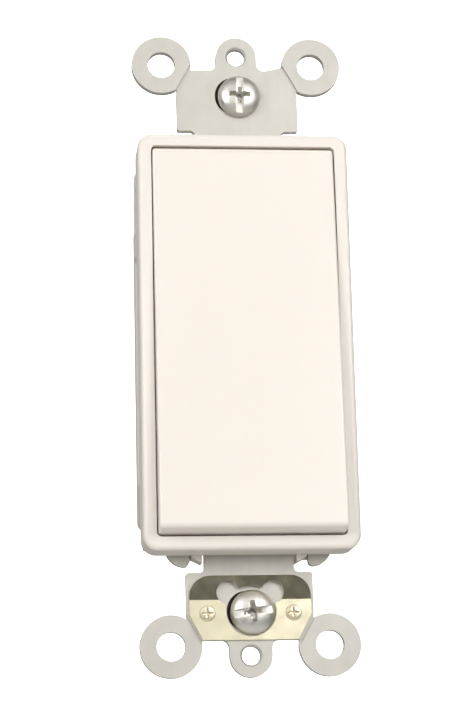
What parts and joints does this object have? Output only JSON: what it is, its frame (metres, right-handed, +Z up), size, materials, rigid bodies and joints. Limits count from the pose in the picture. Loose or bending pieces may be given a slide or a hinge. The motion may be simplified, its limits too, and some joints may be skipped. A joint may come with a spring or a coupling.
{
  "type": "rocker wall switch",
  "caption": "Decorator rocker wall switch on a steel strap with plaster ears, grounding clip, side terminals and a snap contact mechanism.",
  "frame": {"origin": "middle of the two box screws, on the strap's rear face where it meets the wall", "axes": "+X right, +Y into the wall box, +Z up; the rocker faces -Y"},
  "size_m": [0.034, 0.0344, 0.1034],
  "materials": {
    "mounting_strap": "galvanised, satin",
    "front_frame": "satin white thermoplastic",
    "rocker_paddle": "satin white thermoplastic",
    "toggle_spring": "spring steel wire",
    "spring_plunger": "natural nylon",
    "housing_cover": "white thermoplastic",
    "housing_base": "white thermoplastic",
    "housing_rivets": "zinc-plated",
    "line_terminal": "stamped brass",
    "load_terminal": "stamped brass",
    "push_in_clamps": "spring brass leaf",
    "fixed_contact": "silver alloy",
    "contact_cradle": "black nylon",
    "contact_arm": "copper alloy strip",
    "moving_contact_tip": "silver alloy",
    "pivot_pin": "turned brass",
    "stop_bumpers": "soft black rubber",
    "box_screws": "zinc-plated",
    "screw_retainers": "vulcanised fibre",
    "grounding_clip": "stamped spring brass",
    "clip_stakes": "galvanised, staked",
    "line_screw": "brass",
    "load_screw": "brass",
    "line_clamp": "brass",
    "load_clamp": "brass",
    "ground_screw": "green-dyed zinc-plated steel"
  },
  "bodies": {
    "device": {"mounting_strap": "mounting_strap", "front_frame": "front_frame", "housing_cover": "housing_cover", "housing_base": "housing_base", "housing_rivets": "housing_rivets", "line_terminal": "line_terminal", "load_terminal": "load_terminal", "push_in_clamps": "push_in_clamps", "fixed_contact": "fixed_contact", "stop_bumpers": "stop_bumpers", "box_screws": "box_screws", "screw_retainers": "screw_retainers", "grounding_clip": "grounding_clip", "clip_stakes": "clip_stakes"},
    "rocker": {"rocker_paddle": "rocker_paddle", "toggle_spring": "toggle_spring", "spring_plunger": "spring_plunger"},
    "swing": {"contact_cradle": "contact_cradle", "contact_arm": "contact_arm", "moving_contact_tip": "moving_contact_tip", "pivot_pin": "pivot_pin"},
    "line_binding": {"line_screw": "line_screw", "line_clamp": "line_clamp"},
    "load_binding": {"load_screw": "load_screw", "load_clamp": "load_clamp"},
    "ground_binding": {"ground_screw": "ground_screw"}
  },
  "joints": [
    {"name": "rocker_tilt", "type": "hinge", "parent": "device", "child": "rocker", "pos_m": [0, -0.004, 0], "axis": [1, 0, 0], "range_deg": [0, 6.4]},
    {"name": "contact_swing", "type": "hinge", "parent": "device", "child": "swing", "pos_m": [0, 0.0134, 0], "axis": [-1, 0, 0], "range_deg": [0, 20.8]},
    {"name": "line_screw_travel", "type": "slide", "parent": "device", "child": "line_binding", "axis": [1, 0, 0], "range_m": [0, 0.0022]},
    {"name": "load_screw_travel", "type": "slide", "parent": "device", "child": "load_binding", "axis": [1, 0, 0], "range_m": [0, 0.0022]},
    {"name": "ground_screw_travel", "type": "slide", "parent": "device", "child": "ground_binding", "axis": [-1, 0, 0], "range_m": [0, 0.0022]}
  ],
  "couplings": [
    {"joint": "contact_swing", "follows": "rocker_tilt", "ratio": 3.25}
  ]
}
